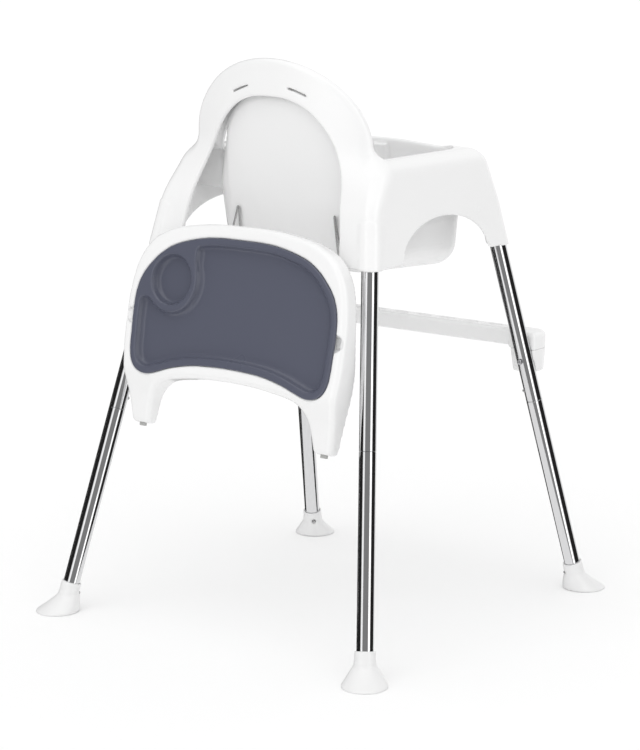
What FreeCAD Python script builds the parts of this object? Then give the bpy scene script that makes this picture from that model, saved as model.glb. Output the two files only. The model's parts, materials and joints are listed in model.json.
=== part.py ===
"""Baby high chair: moulded seat shell on four splayed tube legs, with a footrest and a tray.

The chair faces -Y, +Z is up, and the origin is on the floor at the centre of the footprint.
+X is the child's left.  All lengths are in millimetres.  The tray hangs on the back of the
chair, face outwards and arms down, on two wire hooks.
"""
import FreeCAD, Part
import math
import os

from FreeCAD import Placement, Rotation, Vector

doc = FreeCAD.newDocument("baby_high_chair")
sheet = doc.addObject("Spreadsheet::Sheet", "dimensions")

DIMENSIONS = {
    # legs: where each leg's axis meets the floor, and how far it leans in for each unit of height
    "tube_diameter": 25.0,
    "tube_wall": 1.0,
    "rear_foot_x": 292.2,
    "rear_foot_y": 298.05,
    "rear_lean_x": 0.1627,
    "rear_lean_y": 0.231,
    "front_foot_x": 269.0,
    "front_foot_y": 297.15,
    "front_lean_x": 0.1226,
    "front_lean_y": 0.2487,
    # distances along a leg's axis, from the floor
    "tube_start": 14.0,
    "joint_place": 328.5,
    "mouth_place": 588.0,
    "socket_depth": 62.0,
    "spigot_length": 55.0,
    "fit_gap": 0.05,
    "leg_button_place": 346.0,
    "foot_button_place": 32.0,
    "socket_screw_place": 622.0,
    "footrest_bolt_place": 393.0,
    # feet
    "foot_base_radius": 33.1,
    "foot_base_offset": 11.4,
    "foot_rim_height": 3.5,
    "foot_cone_height": 27.0,
    "foot_neck_radius": 15.2,
    "foot_neck_length": 47.0,
    # snap buttons
    "leg_button_radius": 2.6,
    "foot_button_radius": 2.6,
    "button_stand_out": 2.2,
    "button_travel": 2.0,
    "spring_strip_width": 6.0,
    "spring_strip_thickness": 0.6,
    # seat shell
    "skin": 3.0,
    "mouth_height": 566.0,
    "arm_height": 713.5,
    "arm_half_width": 191.6,
    "arm_rear_y": 156.0,
    "arm_front_y": 135.7,
    "arm_corner_radius": 28.0,
    "arm_edge_radius": 20.0,
    "arch_half_width": 165.0,
    "arch_rise": 130.0,
    "arch_centre_height": 726.0,
    "arch_band_depth": 14.0,
    "arch_band_curve": 417.0,
    "dish_half_width": 120.0,
    "dish_rise": 86.0,
    "dish_rim_width": 8.0,
    "dish_rim_depth": 9.0,
    "back_wall_y": 106.0,
    "back_wall_height": 620.0,
    "back_wall_lean": 0.13,
    "bucket_bottom": 527.0,
    "bucket_bottom_rise": 14.0,
    "bucket_front_y": 162.0,
    "bucket_half_width": 145.0,
    "bucket_mid_height": 615.0,
    "bucket_corner_radius": 38.0,
    "side_arch_half_length": 108.0,
    "side_arch_rise": 60.0,
    "rear_arch_half_width": 122.0,
    "rear_arch_height": 800.0,
    "leg_hole_inner_x": 24.0,
    "leg_hole_outer_x": 118.0,
    "leg_hole_bottom": 562.0,
    "leg_hole_top": 664.0,
    "leg_hole_radius": 28.0,
    "post_radius": 13.0,
    "strap_slot_length": 34.0,
    "strap_slot_width": 4.5,
    "strap_slot_x": 53.0,
    "strap_slot_height": 810.0,
    # footrest
    "rest_top": 422.0,
    "rest_bottom": 396.0,
    "rest_cap_bottom": 360.0,
    "rest_front_y": 255.0,
    "rest_rear_y": 222.0,
    "rest_end_rear_y": 205.0,
    "rest_half_width": 240.0,
    "rest_block_inner_x": 186.0,
    "rest_wall": 2.5,
    "rest_screw_x": 209.0,
    "rest_screw_y": 238.0,
    # tray, in its own frame: across, up along the face, and out from the face
    "tray_centre_y": 243.7,
    "tray_centre_z": 450.0,
    "tray_lean": 11.5,
    "tray_depth": 42.0,
    "tray_top_depth": 27.0,
    "tray_skin": 3.0,
    "tray_plate": 6.0,
    "flange_seat": 3.5,
    "flange_gap": 0.4,
    "flange_proud": 1.0,
    "pan_depth": 9.0,
    "pan_skin": 2.0,
    "cup_radius": 36.0,
    "cup_ring_radius": 48.0,
    "cup_x": 124.0,
    "cup_up": 78.5,
    "latch_width": 11.0,
    "latch_thickness": 5.0,
    "latch_x": 174.0,
    "latch_level": -35.5,
    "latch_spring_radius": 2.6,
    # wire hooks
    "wire_radius": 1.5,
    # screws
    "screw_radius": 2.0,
    "screw_head_radius": 4.0,
    "bolt_radius": 2.5,
    "bolt_head_radius": 4.4,
}
for row, (name, value) in enumerate(DIMENSIONS.items(), start=1):
    sheet.set("A%d" % row, name)
    sheet.set("B%d" % row, "%g" % value)
    sheet.setAlias("B%d" % row, name)
doc.recompute()

NODES = []          # finished objects, in the order they are exported


def dim(name):
    """A driving dimension, read from the sheet."""
    return float(sheet.get(name))


def bind(obj, **expressions):
    """Bind an object's sizes to cells of the sheet."""
    for prop, expression in expressions.items():
        obj.setExpression(prop, expression)
    return obj


def cell(name):
    return "dimensions." + name


def node(obj, name):
    """Name a finished sub-part and list it for export."""
    obj.Label = name
    NODES.append(obj)
    return obj


def feature(name, shape, placement=None):
    """A sub-part whose shape comes from Part's own functions."""
    obj = doc.addObject("Part::Feature", name)
    obj.Shape = shape
    if placement is not None:
        obj.Placement = placement
    return node(obj, name)


def primitive(kind, name, placement, **expressions):
    obj = doc.addObject("Part::" + kind, name)
    obj.Placement = placement
    return bind(obj, **expressions)


def cut(name, base, tools):
    """base minus every tool, as a Part::Cut."""
    tool = tools[0]
    if len(tools) > 1:
        tool = doc.addObject("Part::MultiFuse", name + "_tools")
        tool.Shapes = tools
    result = doc.addObject("Part::Cut", name)
    result.Base = base
    result.Tool = tool
    return result


def fuse(name, pieces):
    result = doc.addObject("Part::MultiFuse", name)
    result.Shapes = pieces
    return result


def union(shapes):
    return shapes[0].multiFuse(shapes[1:]).removeSplitter()


# ---------------------------------------------------------------- leg frames

class Leg:
    """One leg's axis: origin on the floor, Z up the tube, X towards the chair's centre."""

    def __init__(self, end, side):
        self.end = end
        self.side = side
        self.name = "%s_%s" % (end, "left" if side > 0 else "right")
        out = 1 if end == "rear" else -1
        self.floor = Vector(side * dim(end + "_foot_x"), out * dim(end + "_foot_y"), 0)
        self.lean = Vector(-side * dim(end + "_lean_x"), -out * dim(end + "_lean_y"), 1)
        self.axis = Vector(self.lean)
        self.axis.normalize()
        inward = Vector(-side, -out, 0)
        inward = inward - self.axis * inward.dot(self.axis)
        inward.normalize()
        self.inward = inward
        across = self.axis.cross(inward)
        self.rotation = Rotation(inward, across, self.axis, "ZXY")

    def at_height(self, z):
        return self.floor + self.lean * z

    def point(self, place):
        return self.floor + self.axis * place

    def placement(self, place=0.0):
        return Placement(self.point(place), self.rotation)

    def radial(self, place, distance=0.0, angle=0.0):
        """A frame at a place on the axis whose Z points radially, angle degrees from inward."""
        turn = self.rotation.multiply(Rotation(Vector(0, 0, 1), angle))
        facing = turn.multiply(Rotation(Vector(0, 1, 0), 90))
        base = self.point(place) + facing.multVec(Vector(0, 0, distance))
        return Placement(base, facing)


LEGS = [Leg(end, side) for end in ("rear", "front") for side in (1, -1)]
TUBE_R = dim("tube_diameter") / 2


# ---------------------------------------------------------------- leg tubes

def bore_tool(name, leg, place, radius_name, reach=20.0):
    """A radial drill through one wall, towards the chair's centre."""
    return primitive("Cylinder", name, leg.radial(place, 5.0),
                     Radius="%s + 0.15" % cell(radius_name), Height="%g" % reach)


def upper_leg(leg):
    name = "upper_leg_" + leg.name
    place = leg.placement(dim("joint_place"))
    length = "dimensions.mouth_place + dimensions.socket_depth - dimensions.joint_place"
    body = primitive("Cylinder", name + "_outside", place,
                     Radius=cell("tube_diameter") + " / 2", Height=length)
    hollow = primitive("Cylinder", name + "_inside", leg.placement(dim("joint_place") - 1),
                       Radius="dimensions.tube_diameter / 2 - dimensions.tube_wall",
                       Height=length + " + 2")
    tools = [hollow]
    tools.append(bore_tool(name + "_button_hole", leg, dim("leg_button_place"), "leg_button_radius"))
    tools.append(bore_tool(name + "_screw_hole", leg, dim("socket_screw_place"), "screw_radius"))
    if leg.end == "front":
        tools.append(primitive("Cylinder", name + "_bolt_hole", bolt_frame(leg, 25.0),
                               Radius="dimensions.bolt_radius + 0.1", Height="50"))
    node(cut(name, body, tools), name)


def lower_leg(leg):
    """The lower tube, with a swaged spigot that slides up inside the upper tube."""
    name = "lower_leg_" + leg.name
    tube = primitive("Cylinder", name + "_outside", leg.placement(dim("tube_start")),
                     Radius=cell("tube_diameter") + " / 2",
                     Height="dimensions.joint_place - dimensions.tube_start - 0.4")
    spigot = primitive("Cylinder", name + "_spigot", leg.placement(dim("joint_place") - 5),
                       Radius="dimensions.tube_diameter / 2 - dimensions.tube_wall - dimensions.fit_gap",
                       Height="dimensions.spigot_length + 5")
    narrow = primitive("Cylinder", name + "_inside", leg.placement(dim("tube_start") - 1),
                       Radius="dimensions.tube_diameter / 2 - 2 * dimensions.tube_wall",
                       Height="dimensions.joint_place + dimensions.spigot_length + 10")
    wide = primitive("Cylinder", name + "_wide_inside", leg.placement(dim("tube_start") - 1),
                     Radius="dimensions.tube_diameter / 2 - dimensions.tube_wall",
                     Height="dimensions.joint_place - dimensions.tube_start - 7")
    tools = [narrow, wide]
    tools.append(bore_tool(name + "_button_hole", leg, dim("leg_button_place"), "leg_button_radius"))
    tools.append(bore_tool(name + "_foot_hole", leg, dim("foot_button_place"), "foot_button_radius"))
    node(cut(name, fuse(name + "_solid", [tube, spigot]), tools), name)


def bolt_frame(leg, reach):
    """A frame on the footrest bolt's axis, level and square to the chair, Z to the front."""
    centre = leg.point(dim("footrest_bolt_place"))
    facing = Rotation(Vector(1, 0, 0), 90)
    return Placement(centre + Vector(0, reach, 0), facing)


# ---------------------------------------------------------------- feet

def ring_wire(radius, centre, normal, start):
    """A circle that starts in a given direction, so that lofts between circles don't twist."""
    circle = Part.Circle(centre, normal, radius)
    circle.XAxis = start - normal * start.dot(normal)
    return Part.Wire(circle.toShape())


def foot(leg):
    """A neck around the tube's end on a wide cone, its base pushed outwards along the splay."""
    splay = Vector(leg.lean.x, leg.lean.y, 0)
    splay.normalize()
    base_centre = leg.floor - splay * dim("foot_base_offset")
    up = Vector(0, 0, 1)
    radius = dim("foot_base_radius")
    rim = dim("foot_rim_height")
    base = ring_wire(radius - 1.0, base_centre, up, leg.inward)
    edge = ring_wire(radius, base_centre + up * 1.0, up, leg.inward)
    lip = ring_wire(radius - 0.6, base_centre + up * rim, up, leg.inward)
    neck_base = leg.point(dim("foot_cone_height"))
    neck = ring_wire(dim("foot_neck_radius"), neck_base, leg.axis, leg.inward)
    skirt = Part.makeLoft([base, edge, lip], True, True)
    cone = Part.makeLoft([lip, neck], True, True)
    collar = Part.makeCylinder(dim("foot_neck_radius"),
                               dim("foot_neck_length") - dim("foot_cone_height") + 4,
                               leg.point(dim("foot_cone_height") - 4), leg.axis)
    solid = union([skirt, cone, collar])
    fit = TUBE_R + dim("fit_gap")
    bore = Part.makeCylinder(fit, 80, leg.point(dim("tube_start") - 0.1), leg.axis)
    hole_frame = leg.radial(dim("foot_button_place"), 5.0)
    hole = Part.makeCylinder(dim("foot_button_radius") + 0.15, 20)
    hole.Placement = hole_frame
    feature("foot_" + leg.name, solid.cut(bore).cut(hole))


# ---------------------------------------------------------------- snap buttons

def snap_button(leg, kind, stand_off):
    """A domed pip through the tube wall, with a flange inside that stops it falling out."""
    name = "%s_button_%s" % (kind, leg.name)
    radius = dim(kind + "_button_radius")
    inner_wall = TUBE_R - 2 * dim("tube_wall")
    tip = TUBE_R + stand_off + dim("button_stand_out")
    dome = radius * 0.55
    # the flange sits inside the lower tube's wall; its face is trimmed to the tube's curve
    stem = Part.makeCylinder(radius, tip - dome - inner_wall + 2.0, Vector(0, 0, inner_wall - 2.0))
    cap = Part.makeCone(radius, radius * 0.55, dome, Vector(0, 0, tip - dome))
    flange = Part.makeCylinder(radius + 1.2, 1.2, Vector(0, 0, inner_wall - 2.4))
    shape = union([stem, cap, flange])
    placement = leg.radial(dim(kind + "_button_place"))
    feature(name, shape, placement)


def snap_springs(kind):
    """The V-shaped leaf springs behind the buttons, drawn pressed flat by the buttons' travel."""
    width = dim("spring_strip_width")
    thick = dim("spring_strip_thickness")
    solids = []
    for leg in LEGS:
        start = TUBE_R - 2 * dim("tube_wall") - 2.4 - dim("button_travel") - 0.3
        far = -(TUBE_R - 2 * dim("tube_wall")) + 1.9
        reach = 26.0
        points = [Vector(-4, 0, start), Vector(6, 0, start), Vector(reach, 0, 0), Vector(6, 0, far),
                  Vector(-4, 0, far), Vector(-4, 0, far - thick), Vector(6 + thick, 0, far - thick),
                  Vector(reach + thick, 0, 0), Vector(6 + thick, 0, start + thick),
                  Vector(-4, 0, start + thick)]
        # the far arm is turned so that the whole strip stays inside the tube
        profile = Part.Face(Part.makePolygon(points + points[:1]))
        strip = profile.extrude(Vector(0, width, 0))
        strip.translate(Vector(0, -width / 2, -thick))
        strip.rotate(Vector(0, 0, 0), Vector(0, 0, 1), 180)
        strip.Placement = leg.radial(dim(kind + "_button_place")).multiply(strip.Placement)
        solids.append(strip)
    feature(kind + "_snap_springs", Part.makeCompound(solids))


# ---------------------------------------------------------------- seat shell

def rounded_section(corners, radius):
    """A closed wire around four corner centres, offset outwards by radius."""
    outline = Part.makePolygon(corners + corners[:1])
    return outline.makeOffset2D(radius)


def skirt_block(shrink, low, high):
    """The outside of the skirt: corners that follow the legs, then larger round corners on top."""
    bottom = []
    for leg in (LEGS[0], LEGS[2], LEGS[3], LEGS[1]):
        place = leg.at_height(low)
        bottom.append(Vector(place.x, place.y, low))
    radius = dim("arm_corner_radius")
    side = dim("arm_half_width") - radius
    rear = dim("arm_rear_y") - radius
    front = -dim("arm_front_y") + radius
    top = [Vector(side, rear, high), Vector(side, front, high),
           Vector(-side, front, high), Vector(-side, rear, high)]
    wires = [rounded_section(bottom, TUBE_R + dim("skin") - shrink),
             rounded_section(top, radius - shrink)]
    block = Part.makeLoft(wires, True, True)
    crown = [e for e in block.Edges if all(abs(v.Z - high) < 0.01 for v in e.Vertexes)]
    return block.makeFillet(dim("arm_edge_radius") - shrink, crown)


def arch_outline(half_width, rise, centre, foot_height, y):
    """Half an ellipse standing on straight sides, as a face in a plane of constant y."""
    ellipse = Part.Ellipse(Vector(0, y, centre), max(half_width, rise), min(half_width, rise))
    if half_width >= rise:
        ellipse = Part.Ellipse(Vector(half_width, y, centre), Vector(0, y, centre + rise),
                               Vector(0, y, centre))
    left = Vector(half_width, y, centre)
    right = Vector(-half_width, y, centre)
    start = ellipse.parameter(left)
    end = ellipse.parameter(right)
    arc = Part.ArcOfEllipse(ellipse, start, end).toShape()
    if arc.valueAt((arc.FirstParameter + arc.LastParameter) / 2).z < centre:
        arc = Part.ArcOfEllipse(ellipse, end, start).toShape()
    low_left = Vector(half_width, y, foot_height)
    low_right = Vector(-half_width, y, foot_height)
    straight = Part.makePolygon([left, low_left, low_right, right])
    wire = Part.Wire(Part.__sortEdges__([arc] + straight.Edges))
    return Part.Face(wire)


def side_slab(points, half_width):
    """A prism across the chair from (y, z) points."""
    vectors = [Vector(-half_width, y, z) for y, z in points]
    face = Part.Face(Part.makePolygon(vectors + vectors[:1]))
    return face.extrude(Vector(2 * half_width, 0, 0))


def back_y(height):
    """The rear face of the bucket's back wall at a height."""
    return dim("back_wall_y") + dim("back_wall_lean") * (height - dim("back_wall_height"))


def back_arch(shrink):
    """The backrest's arch as a solid: a band that wraps round the back, and a rim around the dish."""
    low = 655.0 + shrink
    centre = dim("arch_centre_height")
    rear = dim("arm_rear_y")
    outside = dim("arch_band_curve") - shrink
    inside = dim("arch_band_curve") - dim("arch_band_depth") + shrink
    middle = Vector(0, rear - dim("arch_band_curve"), low - 10)
    wrap = Part.makeCylinder(outside, 300, middle)
    outline = arch_outline(dim("arch_half_width") - shrink, dim("arch_rise") - shrink, centre, low, 60.0)
    slab = outline.extrude(Vector(0, rear + 10 - 60.0, 0))
    band = slab.common(wrap).cut(Part.makeCylinder(inside, 300, middle))
    if shrink == 0:
        band = round_arch(band)
    border = dim("dish_rim_width") - shrink
    outline = arch_outline(dim("dish_half_width") + border, dim("dish_rise") + border, centre, low, 60.0)
    top = centre + dim("arch_rise")
    front = shrink - dim("dish_rim_depth")
    room = side_slab([(back_y(low) + front, low), (rear + 5, low), (rear + 5, top),
                      (back_y(top) + front, top)], 250)
    rim = outline.extrude(Vector(0, rear + 10 - 60.0, 0)).common(room).common(wrap)
    return union([band, rim])


def round_arch(solid):
    """Round the arch's rear and front outer edges."""
    centre = dim("arch_centre_height")
    curved = [e for e in solid.Edges
              if e.BoundBox.ZMax > centre + 0.9 * dim("arch_rise") and e.BoundBox.ZMin < centre + 1]
    return solid.makeFillet(5.0, curved)


def bucket(shrink):
    """The bucket: a rounded box, widest in the middle, that runs up into the backrest's dish."""
    skin = shrink
    radius = dim("bucket_corner_radius")
    low = dim("bucket_bottom") + skin
    mid = dim("bucket_mid_height")
    high = dim("arm_height") + (40 if shrink else 0)
    rise = dim("bucket_bottom_rise")
    half = dim("bucket_half_width")

    def section(height, half_width, front, rear, tilt=0.0):
        inset = radius
        x = half_width - inset
        corners = [Vector(x, rear - inset, height + tilt), Vector(x, -front + inset, height),
                   Vector(-x, -front + inset, height), Vector(-x, rear - inset, height + tilt)]
        return rounded_section(corners, radius - skin)

    front_top = dim("arm_front_y") - 13.0
    lean_front = (dim("bucket_front_y") - front_top) / (dim("arm_height") - mid)
    wires = [section(low, half - 10, dim("bucket_front_y") - 6, back_y(low) - 4, rise),
             section(mid, half, dim("bucket_front_y"), back_y(mid)),
             section(high, half - 18, dim("bucket_front_y") - lean_front * (high - mid), back_y(high))]
    box = Part.makeLoft(wires, True, True)
    floor_edges = [e for e in box.Edges if e.BoundBox.ZMax < low + rise + 1]
    box = box.makeFillet(24.0 - skin, floor_edges)

    outline = arch_outline(dim("dish_half_width") - skin, dim("dish_rise") - skin,
                           dim("arch_centre_height"), 640.0, 40.0)
    dish = outline.extrude(Vector(0, 120, 0))
    top = dim("arch_centre_height") + dim("dish_rise")
    front_low = 40.0 if shrink else back_y(640) - dim("dish_rim_depth")
    front_top = 40.0 if shrink else back_y(top) - dim("dish_rim_depth")
    room = side_slab([(front_low, 640), (back_y(640) - skin, 640), (back_y(top) - skin, top),
                      (front_top, top)], 250)
    return union([box, dish.common(room)])


def side_arch_tool():
    """The arches between the front and rear sockets, cut across the whole skirt."""
    rise = dim("side_arch_rise")
    half = dim("side_arch_half_length")
    base = dim("mouth_height")
    ellipse = Part.Ellipse(Vector(0, half, base), Vector(0, 0, base + rise), Vector(0, 0, base))
    face = Part.Face(Part.Wire(ellipse.toShape()))
    return face.extrude(Vector(600, 0, 0)).translated(Vector(-300, 0, 0))


def rear_arch_tool():
    """The tall opening behind the backrest, wide between the sockets and round at the top."""
    half = dim("rear_arch_half_width")
    y = 134.0
    shoulder = 700.0
    top = dim("rear_arch_height")
    mouth = dim("mouth_height") - 10
    spread = 156.0
    head = arch_outline(half, top - shoulder, shoulder, shoulder - 10, y)
    curve = Part.BezierCurve()
    curve.setPoles([Vector(half, y, shoulder - 10), Vector(half + 12, y, 660),
                    Vector(spread - 12, y, 620), Vector(spread, y, mouth)])
    left = curve.toShape()
    right = left.mirror(Vector(0, 0, 0), Vector(1, 0, 0))
    foot_line = Part.makeLine(Vector(spread, y, mouth), Vector(-spread, y, mouth))
    top_line = Part.makeLine(Vector(half, y, shoulder - 10), Vector(-half, y, shoulder - 10))
    legs = Part.Face(Part.Wire(Part.__sortEdges__([left, foot_line, right, top_line])))
    reach = Vector(0, 90, 0)
    return union([head.extrude(reach), legs.extrude(reach)])


def front_arch_tool():
    """The arch between the two front sockets; the bucket's front closes its middle."""
    base = dim("mouth_height")
    ellipse = Part.Ellipse(Vector(184, 0, base), Vector(0, 0, base + 78), Vector(0, 0, base))
    face = Part.Face(Part.Wire(ellipse.toShape()))
    return face.extrude(Vector(0, 100, 0)).translated(Vector(0, -200, 0))


def rounded_hole(x_low, x_high, z_low, z_high, radius, y, reach):
    """A rounded rectangle as a prism along Y."""
    corners = [Vector(x_low + radius, y, z_low + radius), Vector(x_high - radius, y, z_low + radius),
               Vector(x_high - radius, y, z_high - radius), Vector(x_low + radius, y, z_high - radius)]
    return Part.Face(rounded_section(corners, radius)).extrude(Vector(0, reach, 0))


def leg_holes():
    tools = []
    for side in (1, -1):
        ends = sorted((side * dim("leg_hole_inner_x"), side * dim("leg_hole_outer_x")))
        tools.append(rounded_hole(ends[0], ends[1], dim("leg_hole_bottom"), dim("leg_hole_top"),
                                  dim("leg_hole_radius"), -200.0, 120.0))
    return tools


def strap_slots():
    """Two slightly sloping slots through both walls of the backrest's band."""
    tools = []
    for side in (1, -1):
        half = dim("strap_slot_length") / 2 - dim("strap_slot_width") / 2
        width = dim("strap_slot_width") / 2
        slot = rounded_hole(-half - width, half + width, -width, width, width - 0.01, 115.0, 60.0)
        slot.rotate(Vector(0, 0, 0), Vector(0, 1, 0), side * 18.0)
        slot.translate(Vector(side * dim("strap_slot_x"), 0, dim("strap_slot_height")))
        tools.append(slot)
    return tools


def seat_shell():
    low = dim("mouth_height") - 4
    high = dim("arm_height")
    skin = dim("skin")
    outside = union([skirt_block(0.0, low, high), back_arch(0.0)])
    cavity = skirt_block(skin, low - 1, high - skin).fuse(back_arch(skin))
    skirt = outside.cut(cavity)
    skirt = skirt.cut(side_arch_tool()).cut(rear_arch_tool()).cut(front_arch_tool())
    sockets = []
    for leg in LEGS:
        socket = Part.makeCylinder(TUBE_R + skin, dim("socket_depth") + skin + 20,
                                   leg.point(dim("mouth_place") - 20), leg.axis)
        sockets.append(socket.common(outside))
    skirt = union([skirt] + sockets)
    trim = Part.makeBox(600, 600, 200, Vector(-300, -300, dim("mouth_height") - 200))
    skirt = skirt.cut(trim)
    post = Part.makeCone(dim("post_radius"), dim("post_radius") - 2, 165,
                         Vector(0, -dim("bucket_front_y") + 10, 535), Vector(0, 0.21, 1))
    outer_bucket = bucket(0.0)
    inner_bucket = bucket(skin)
    shell = union([skirt, outer_bucket])
    shell = shell.cut(inner_bucket)
    shell = union([shell, post.common(outer_bucket)])
    for tool in leg_holes() + strap_slots():
        shell = shell.cut(tool)
    for leg in LEGS:
        bore = Part.makeCylinder(TUBE_R + dim("fit_gap"), dim("socket_depth") + 50,
                                 leg.point(dim("mouth_place") - 50), leg.axis)
        drill = Part.makeCylinder(dim("screw_radius") + 0.1, 20)
        drill.Placement = leg.radial(dim("socket_screw_place"), 5.0)
        shell = shell.cut(bore).cut(drill)
    solids = sorted(shell.Solids, key=lambda solid: solid.Volume)
    feature("seat_shell", solids[-1])


def socket_screws():
    """One pan-head screw per leg, from inside the skirt through the socket into the tube."""
    solids = []
    for leg in LEGS:
        shank = Part.makeCylinder(dim("screw_radius"), 9.0, Vector(0, 0, 8.0))
        head = Part.makeCylinder(dim("screw_head_radius"), 2.4, Vector(0, 0, TUBE_R + dim("skin") + 0.1))
        screw = union([shank, head])
        screw.Placement = leg.radial(dim("socket_screw_place"))
        solids.append(screw)
    feature("leg_socket_screws", Part.makeCompound(solids))


# ---------------------------------------------------------------- footrest

def footrest_bar():
    """A bar in front of the front legs, with a deeper block at each end that backs on the leg."""
    top = dim("rest_top")
    bottom = dim("rest_bottom")
    front = -dim("rest_front_y")
    rear = -dim("rest_rear_y")
    end_rear = -dim("rest_end_rear_y")
    half = dim("rest_half_width")
    inner = dim("rest_block_inner_x")
    height = top - bottom
    outline = [Vector(half - 8, end_rear, bottom), Vector(half, end_rear - 8, bottom),
               Vector(half, front + 10, bottom), Vector(half - 10, front, bottom),
               Vector(-half + 10, front, bottom), Vector(-half, front + 10, bottom),
               Vector(-half, end_rear - 8, bottom), Vector(-half + 8, end_rear, bottom),
               Vector(-inner, end_rear, bottom), Vector(-inner + 40, rear, bottom),
               Vector(inner - 40, rear, bottom), Vector(inner, end_rear, bottom)]
    wire = Part.makePolygon(outline + outline[:1])
    bar = Part.Face(wire).extrude(Vector(0, 0, height))
    upright = [e for e in bar.Edges if abs(e.BoundBox.ZLength - height) < 0.01]
    bar = bar.makeFillet(5.0, upright)
    bar = bar.makeFillet(2.5, [e for e in bar.Edges if e.BoundBox.ZMin > top - 0.01])
    # the underside is hollow between the two end blocks
    wall = dim("rest_wall")
    hollow = Part.makeBox(2 * (inner - 42), rear - front - 2 * wall, height - wall,
                          Vector(-inner + 42, front + wall, bottom))
    bar = bar.cut(hollow)
    tools = []
    # shallow grip grooves along the top
    for index in range(-3, 4):
        tools.append(Part.makeBox(34, 14, 3, Vector(index * 46 - 17, (front + rear) / 2 - 7, top - 1.2)))
    for leg in LEGS[2:]:
        tools.append(Part.makeCylinder(TUBE_R + dim("fit_gap"), 120, leg.point(360), leg.axis))
        tools.append(Part.makeCylinder(dim("screw_radius") + dim("fit_gap"), 46, cap_screw_place(leg)))
    for tool in tools:
        bar = bar.cut(tool)
    feature("footrest_bar", bar)


def footrest_cap(leg):
    """The tapered cap under an end block; the leg's bolt and a screw from below hold it."""
    top = dim("rest_bottom") - 0.3
    bottom = dim("rest_cap_bottom")
    front = -dim("rest_front_y")
    end_rear = -dim("rest_end_rear_y")
    half = dim("rest_half_width")
    inner = dim("rest_block_inner_x") + 4
    x_low, x_high = sorted((leg.side * inner, leg.side * half))

    def ring(z, draw):
        radius = 8.0
        left = x_low + radius + draw
        right = x_high - radius - draw
        ahead = front + radius + draw
        behind = end_rear - radius
        corners = [Vector(left, ahead, z), Vector(right, ahead, z),
                   Vector(right, behind, z), Vector(left, behind, z)]
        return rounded_section(corners, radius)

    cap = Part.makeLoft([ring(bottom, 7.0), ring(top, 0.0)], True, True)
    cap = cap.cut(Part.makeCylinder(TUBE_R + dim("fit_gap"), 160, leg.point(330), leg.axis))
    hole = Part.makeCylinder(dim("bolt_radius") + 0.1, 90, Vector(0, 0, 0), Vector(0, 0, 1))
    hole.Placement = bolt_frame(leg, 25.0)
    cap = cap.cut(hole)
    drill = Part.makeCylinder(dim("screw_radius") + 0.1, 60, cap_screw_place(leg) - Vector(0, 0, 5))
    feature("footrest_cap_%s" % ("left" if leg.side > 0 else "right"), cap.cut(drill))


def cap_screw_place(leg):
    return Vector(leg.side * dim("rest_screw_x"), -dim("rest_screw_y"), dim("rest_cap_bottom"))


def footrest_bolts():
    """A button-head bolt through each front tube into its cap; the head stands behind the tube."""
    bolts = []
    seat = TUBE_R + 1.8
    for leg in LEGS[2:]:
        end = -dim("rest_front_y") + 6.0
        length = leg.point(dim("footrest_bolt_place")).y - end
        shank = Part.makeCylinder(dim("bolt_radius"), length + seat, Vector(0, 0, -seat))
        head = Part.makeSphere(dim("bolt_head_radius"), Vector(0, 0, 0), Vector(0, 0, -1), 0, 90, 360)
        bolt = union([shank, head.translated(Vector(0, 0, -seat))])
        bolt.Placement = bolt_frame(leg, 0.0)
        bolts.append(bolt)
    feature("footrest_bolts", Part.makeCompound(bolts))


def footrest_screws():
    """The screws that pull each cap up against its end block."""
    solids = []
    for leg in LEGS[2:]:
        base = cap_screw_place(leg)
        shank = Part.makeCylinder(dim("screw_radius"), 44.0, base)
        head = Part.makeCone(dim("screw_head_radius") - 1, dim("screw_head_radius"), 2.0,
                             base - Vector(0, 0, 2.0))
        solids.append(union([shank, head]))
    feature("footrest_screws", Part.makeCompound(solids))


# ---------------------------------------------------------------- tray

def tray_placement():
    """Local X to the child's right, Y up along the tray's face, Z out of the face."""
    lean = math.radians(dim("tray_lean"))
    up = Vector(0, -math.sin(lean), math.cos(lean))
    out = Vector(0, math.cos(lean), math.sin(lean))
    return Placement(Vector(0, dim("tray_centre_y"), dim("tray_centre_z")),
                     Rotation(Vector(-1, 0, 0), up, out, "ZXY"))


TRAY = tray_placement()


def smooth_half(points):
    """A smooth curve from the top centre to the bottom centre, level at both ends."""
    curve = Part.BSplineCurve()
    curve.interpolate(Points=points, InitialTangent=Vector(1, 0, 0), FinalTangent=Vector(-1, 0, 0))
    return curve


def mirrored_outline(points, grow=0.0):
    """A smooth closed wire from one side's points and its mirror, moved outwards by grow."""
    curve = smooth_half([Vector(x, y, 0) for x, y in points])
    if grow:
        length = curve.length()
        samples = 90
        moved = []
        for index in range(samples + 1):
            parameter = curve.parameterAtDistance(length * index / samples, curve.FirstParameter)
            along = curve.tangent(parameter)[0]
            moved.append(curve.value(parameter) + Vector(-along.y, along.x, 0) * grow)
        curve = smooth_half(moved)
    half = curve.toShape()
    return Part.Wire([half, half.mirror(Vector(0, 0, 0), Vector(1, 0, 0))])


FRAME_OUTLINE = [(0, 169), (60, 167.5), (119, 159.5), (148, 150), (172, 136), (190, 113), (200, 88),
                 (206, 55), (207.5, 20), (207, -20), (203.5, -55), (199, -85), (195, -113), (192, -129),
                 (185, -139), (173, -142), (161, -139), (155, -129), (152, -112), (147, -94), (137, -81),
                 (122, -72), (92, -66.5), (55, -62), (0, -60)]
INSERT_OUTLINE = [(0, 148), (62, 146), (118, 133.5), (148, 117.5), (168, 99), (182, 80), (190, 56),
                  (192, 26), (191, -5), (189, -36), (181, -55), (167, -64), (150, -65.5), (128, -59),
                  (101, -50.5), (60, -43), (0, -40.5)]


def prism(wire, low, high):
    face = Part.Face(wire)
    return face.translated(Vector(0, 0, low)).extrude(Vector(0, 0, high - low))


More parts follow.
